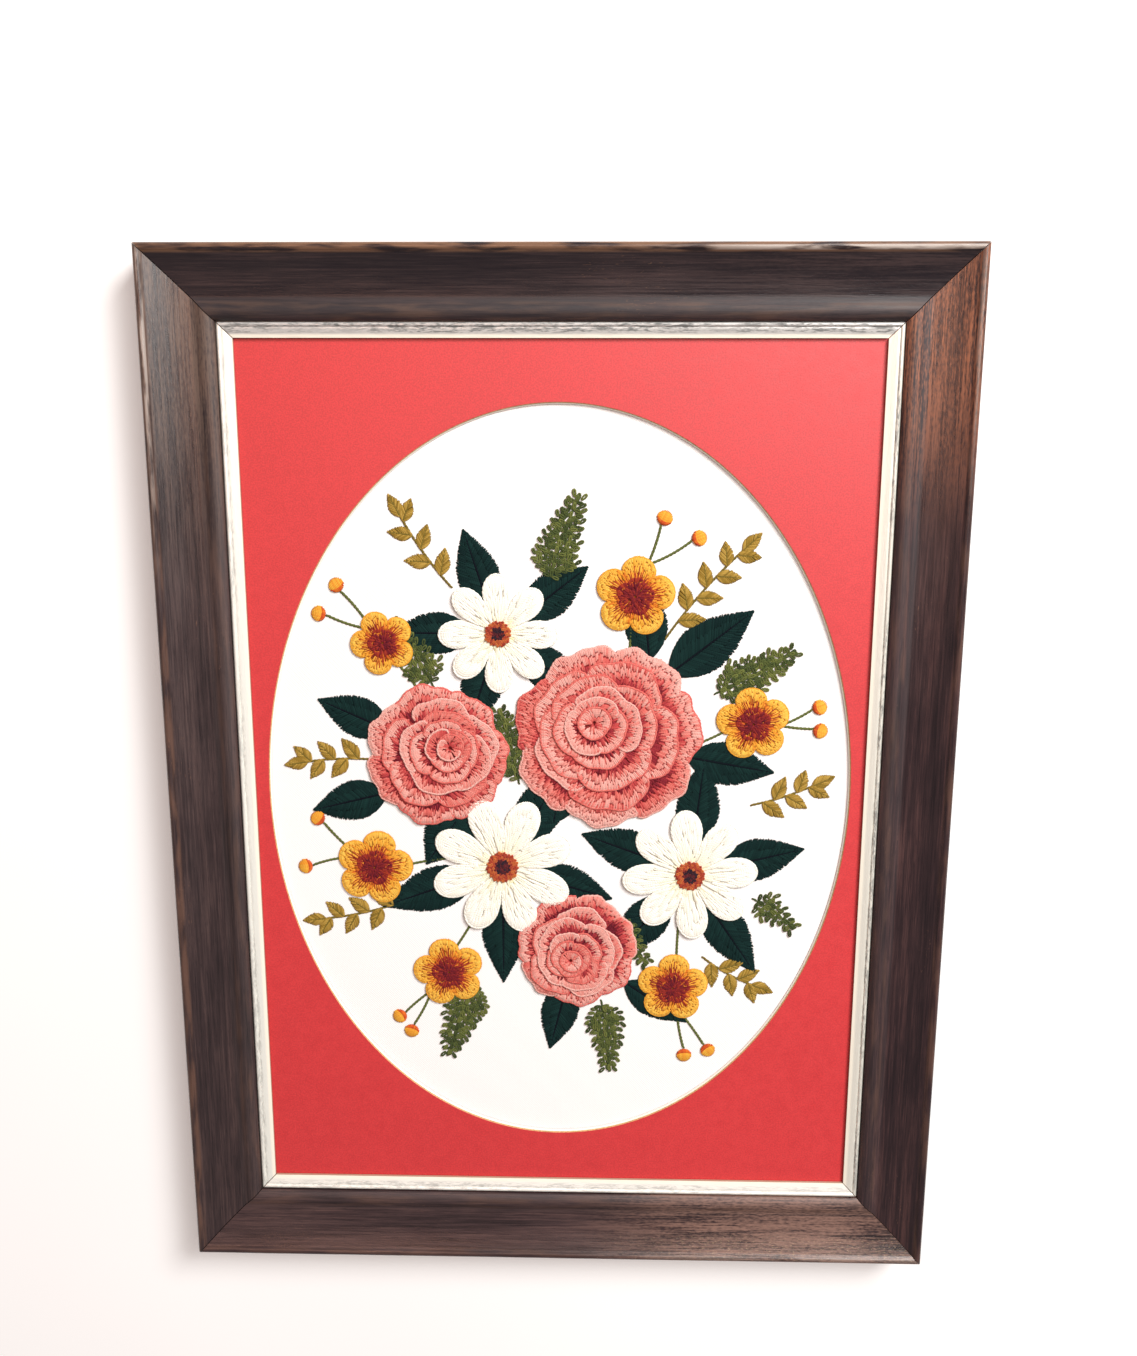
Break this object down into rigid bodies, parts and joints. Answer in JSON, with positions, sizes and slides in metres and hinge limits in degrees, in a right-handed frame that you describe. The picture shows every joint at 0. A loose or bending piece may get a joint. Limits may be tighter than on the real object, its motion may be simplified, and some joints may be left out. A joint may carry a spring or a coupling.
{
  "type": "framed crewel embroidery panel",
  "caption": "Crewel embroidered floral cloth behind an oval mat in a mitred wood picture frame with a silver slip, lying face up.",
  "frame": {"origin": "middle of the frame's back, on the surface that it lies on", "axes": "+X across the picture to the right, +Y up the picture, +Z out of the picture's face"},
  "size_m": [0.312, 0.417, 0.02],
  "materials": {
    "walnut": "satin dark walnut, streaked grain",
    "silver_slip": "rubbed silver leaf with warm worn edges",
    "coral_card": "matte coral card with a cream bevel",
    "embroidered_cloth": "white plain weave with crewel yarns",
    "brown_board": "plain matte board"
  },
  "bodies": {
    "root": {"rail_bottom": "walnut", "rail_right": "walnut", "rail_top": "walnut", "rail_left": "walnut", "slip_bottom": "silver_slip", "slip_right": "silver_slip", "slip_top": "silver_slip", "slip_left": "silver_slip", "mat": "coral_card", "ground_cloth": "embroidered_cloth", "backing_board": "brown_board"}
  },
  "joints": []
}
